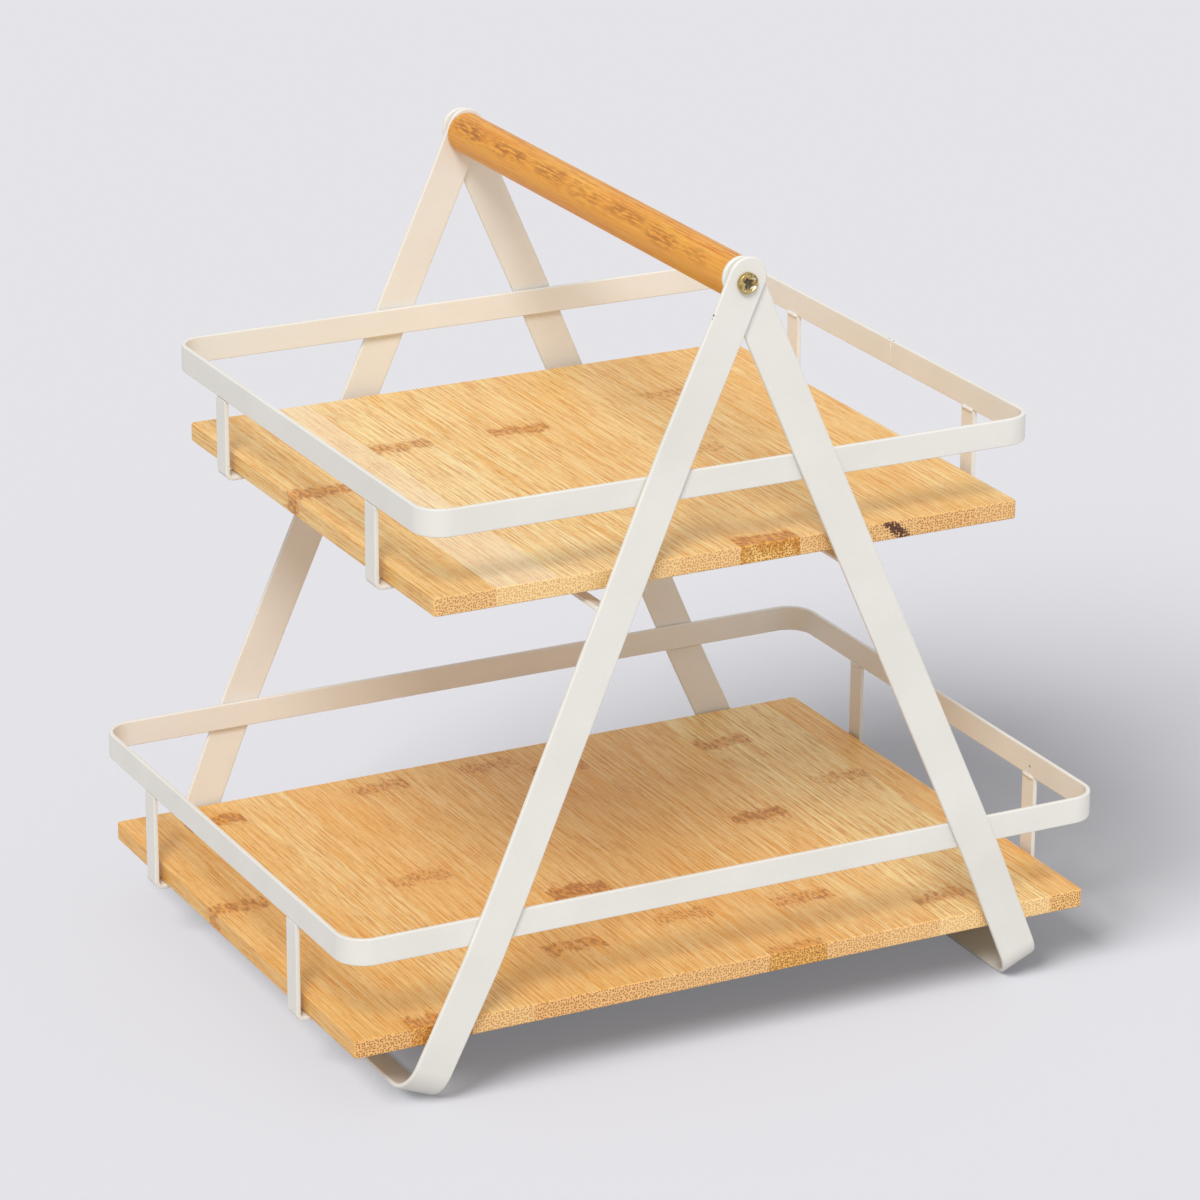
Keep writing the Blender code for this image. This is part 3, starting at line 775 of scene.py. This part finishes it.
# The welds.
# Short lumpy beads, coated with the rest: under the rims at each strap and each leg, at both ends of
# each crossbar, and one down the inside of each rim where its strip is joined to a ring.
BEAD_RADIUS = 0.0011
BEAD_STEP = 0.0012
BEAD_SIDES = 10
BEAD_END = 0.45
BEAD_THIN = 0.85
BEAD_THICK = 1.12
FEWEST_STEPS = 4
BEAD_DROP = 0.0002
STRAP_BEAD_INSET = 0.0008
LEG_BEAD_LENGTH = 0.013
STRIP_THICKNESS = 0.0022
SEAM_RADIUS = 0.0010
SEAM_PLACE = -0.0117
SEAM_STAND = 0.0007
SEAM_INSET = 0.0004
CROSSBAR_BEAD_OUT = 0.0005
CROSSBAR_BEAD_DROP = 0.0012
CROSSBAR_BEAD_REACH = Vector((0.0048, 0, 0.0021))
welder = random.Random(7)


def add_weld(name, start, end, radius=BEAD_RADIUS):
    """Bead along a joint, drawn ring by ring, each ring a little thicker or thinner."""
    run = end - start
    steps = max(round(run.length / BEAD_STEP), FEWEST_STEPS)
    uneven = [welder.uniform(BEAD_THIN, BEAD_THICK) for step in range(steps - 1)]
    sizes = [BEAD_END] + uneven + [BEAD_END]
    shape = bmesh.new()
    bmesh.ops.create_circle(shape, segments=BEAD_SIDES, radius=radius * sizes[0])
    front = shape.edges[:]
    for size, last in zip(sizes[1:], sizes):
        grown = bmesh.ops.extrude_edge_only(shape, edges=front)["geom"]
        ring = [part for part in grown if isinstance(part, bmesh.types.BMVert)]
        front = [part for part in grown if isinstance(part, bmesh.types.BMEdge)]
        bmesh.ops.translate(shape, vec=(0, 0, run.length / steps), verts=ring)
        bmesh.ops.scale(shape, vec=(size / last, size / last, 1), verts=ring)
    bmesh.ops.holes_fill(shape, edges=shape.edges, sides=BEAD_SIDES)
    bmesh.ops.recalc_face_normals(shape, faces=shape.faces)
    bmesh.ops.rotate(shape, matrix=run.to_track_quat("Z", "Y").to_matrix(), verts=shape.verts)
    bmesh.ops.translate(shape, vec=start, verts=shape.verts)
    add_piece("weld_" + name, shape, coat, "rack")


def leg_middle(node, height, depth_side):
    """Where along the rack one leg of a frame crosses a height."""
    mesh = frame["nodes"][node].data
    crossings = []
    for edge in mesh.edges:
        one, other = [mesh.vertices[number].co for number in edge.vertices]
        if one.y * depth_side > 0 and (one.z - height) * (other.z - height) < 0:
            share = (height - one.z) / (other.z - one.z)
            crossings.append(one.x + (other.x - one.x) * share)
    return (min(crossings) + max(crossings)) / 2


for tier in ("upper", "lower"):
    low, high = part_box(tier + "_rim")
    inner = high.x - STRIP_THICKNESS
    under = low.z - BEAD_DROP
    for where in ("near", "far"):
        strap_low, strap_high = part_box(f"{tier}_{where}_strap")
        for side, sign in (("left", -1), ("right", 1)):
            start = Vector((sign * inner, strap_low.y + STRAP_BEAD_INSET, under))
            end = Vector((sign * inner, strap_high.y - STRAP_BEAD_INSET, under))
            add_weld(f"{tier}_{where}_strap_{side}", start, end)
    for where, depth_side in (("near", -1), ("far", 1)):
        for side in ("left", "right"):
            middle = leg_middle(side + "_leg_frame", under, depth_side)
            start = Vector((middle - LEG_BEAD_LENGTH / 2, depth_side * high.y, under))
            end = Vector((middle + LEG_BEAD_LENGTH / 2, depth_side * high.y, under))
            add_weld(f"{tier}_rim_{where}_{side}_leg", start, end)
for tier, sign in (("upper", 1), ("lower", -1)):
    low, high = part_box(tier + "_rim")
    across = sign * (high.x - STRIP_THICKNESS + SEAM_STAND)
    start = Vector((across, SEAM_PLACE, low.z + SEAM_INSET))
    end = Vector((across, SEAM_PLACE, high.z - SEAM_INSET))
    add_weld(tier + "_rim_seam", start, end, SEAM_RADIUS)
for side, sign in (("left", -1), ("right", 1)):
    low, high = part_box(side + "_crossbar")
    middle = (low + high) / 2 + Vector((sign * CROSSBAR_BEAD_OUT, 0, -CROSSBAR_BEAD_DROP))
    reach = Vector((sign * CROSSBAR_BEAD_REACH.x, 0, CROSSBAR_BEAD_REACH.z))
    for where, depth in (("near", low.y), ("far", high.y)):
        middle.y = depth
        add_weld(f"{side}_crossbar_{where}", middle - reach, middle + reach)


# The studio.
# A grey paper floor in an even pale room, with two broad soft lamps. The key stands at the front left
# and models the rack, and the side lamp lights the floor alone and draws the shadow across it. The
# camera and reflections also see a little glow on the floor, and its pale colour behind it.
FLOOR_SIZE = 24.0
FLOOR_COLOUR = shade(127, 126, 128)
FLOOR_GLOW = (0.165, 0.168, 0.182, 1.0)
KEY_FROM = Vector((-0.57, -0.76, 1.0))
KEY_STRENGTH = 1.72
KEY_SPREAD = math.radians(20)
SIDE_FROM = Vector((-1.05, -0.42, 1.03))
SIDE_STRENGTH = 10.45
SIDE_SPREAD = math.radians(34)
ROOM_FRONT = Vector((0.15, -0.90, 0.40))
ROOM_TINT = (0.975, 0.985, 1.0, 1.0)
BACKDROP_COLOUR = shade(228, 227, 232)

# How bright the room is, from its dim back up to its front
ROOM_LEVEL = {"From Min": -0.3, "From Max": 1.0, "To Min": 0.54, "To Max": 0.84}


def seen_share(tree):
    """1 for what the camera sees, straight or in a shiny surface, and 0 for what lights the rack."""
    ray = add_node(tree, "ShaderNodeLightPath").outputs
    return maths(tree, "ADD", ray["Is Camera Ray"], ray["Is Glossy Ray"])


shape = bmesh.new()
bmesh.ops.create_grid(shape, x_segments=1, y_segments=1, size=FLOOR_SIZE / 2)
floor_mesh = bpy.data.meshes.new("floor")
shape.to_mesh(floor_mesh)
shape.free()
floor = bpy.data.objects.new("floor", floor_mesh)
bpy.context.scene.collection.objects.link(floor)

paper, tree, shader, _ = new_material("floor_paper")
shader.inputs["Base Color"].default_value = FLOOR_COLOUR
shader.inputs["Roughness"].default_value = 1.0
shader.inputs["Specular IOR Level"].default_value = 0.0
shader.inputs["Emission Color"].default_value = FLOOR_GLOW
tree.links.new(seen_share(tree), shader.inputs["Emission Strength"])
floor_mesh.materials.append(paper)


def add_lamp(name, come_from, strength, spread, floor_state):
    """Broad lamp with the floor left out of its light, or with nothing but the floor in it."""
    lamp = bpy.data.objects.new(name, bpy.data.lights.new(name, "SUN"))
    lamp.data.energy = strength
    lamp.data.angle = spread
    lamp.rotation_euler = come_from.to_track_quat("Z", "Y").to_euler()
    bpy.context.scene.collection.objects.link(lamp)
    reach = bpy.data.collections.new(name + "_reach")
    reach.objects.link(floor)
    lamp.light_linking.receiver_collection = reach
    reach.collection_objects[0].light_linking.link_state = floor_state


add_lamp("key_lamp", KEY_FROM, KEY_STRENGTH, KEY_SPREAD, "EXCLUDE")
add_lamp("side_lamp", SIDE_FROM, SIDE_STRENGTH, SIDE_SPREAD, "INCLUDE")

world = bpy.data.worlds.new("room")
world.use_nodes = True
tree = world.node_tree
way = add_node(tree, "ShaderNodeTexCoord").outputs["Generated"]
ahead = vector_maths(tree, "DOT_PRODUCT", way, ROOM_FRONT.normalized())
level = add_node(tree, "ShaderNodeMapRange", {"Value": ahead} | ROOM_LEVEL).outputs["Result"]
lit = blend(tree, 1.0, ROOM_TINT, level, "MULTIPLY")
shown = blend(tree, seen_share(tree), lit, BACKDROP_COLOUR)
tree.links.new(shown, tree.nodes["Background"].inputs["Color"])
bpy.context.scene.world = world
